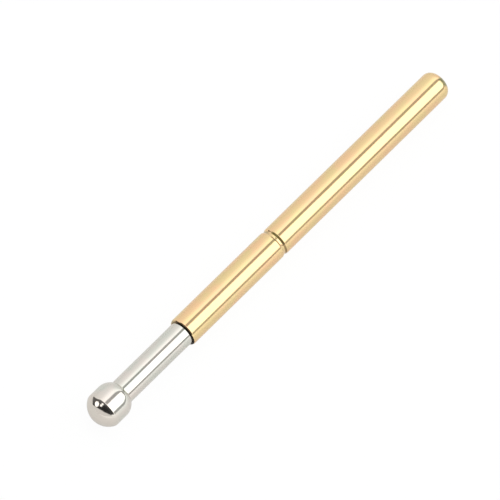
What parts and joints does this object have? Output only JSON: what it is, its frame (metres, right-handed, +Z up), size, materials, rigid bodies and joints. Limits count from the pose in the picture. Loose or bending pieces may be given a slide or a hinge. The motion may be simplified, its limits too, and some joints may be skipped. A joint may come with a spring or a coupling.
{
  "type": "pogo pin",
  "caption": "Spring-loaded contact pin: a ball-headed plunger slides in a thin crimped barrel with a closed, slightly domed rear end, over a coil spring.",
  "frame": {"origin": "centre of the barrel's mouth, on the pin's axis", "axes": "+X along the axis from the mouth to the closed rear end, +Z up when the pin lies flat; the ball head points to -X"},
  "size_m": [0.0165, 0.0012, 0.0012],
  "materials": {
    "gold_plated_tube": "bright gold plate over a drawn phosphor bronze tube, with fine drawing lines",
    "nickel_plated_bar": "bright nickel plate over a turned copper alloy bar, with fine turning rings",
    "spring_wire": "drawn spring wire with a satin plate"
  },
  "bodies": {
    "barrel": {"barrel": "gold_plated_tube", "spring": "spring_wire"},
    "plunger": {"plunger": "nickel_plated_bar"}
  },
  "joints": [
    {"name": "plunger_slide", "type": "slide", "parent": "barrel", "child": "plunger", "axis": [1, 0, 0], "range_m": [0, 0.00265], "stiffness_N_per_m": 380, "deforming": ["spring"]}
  ]
}
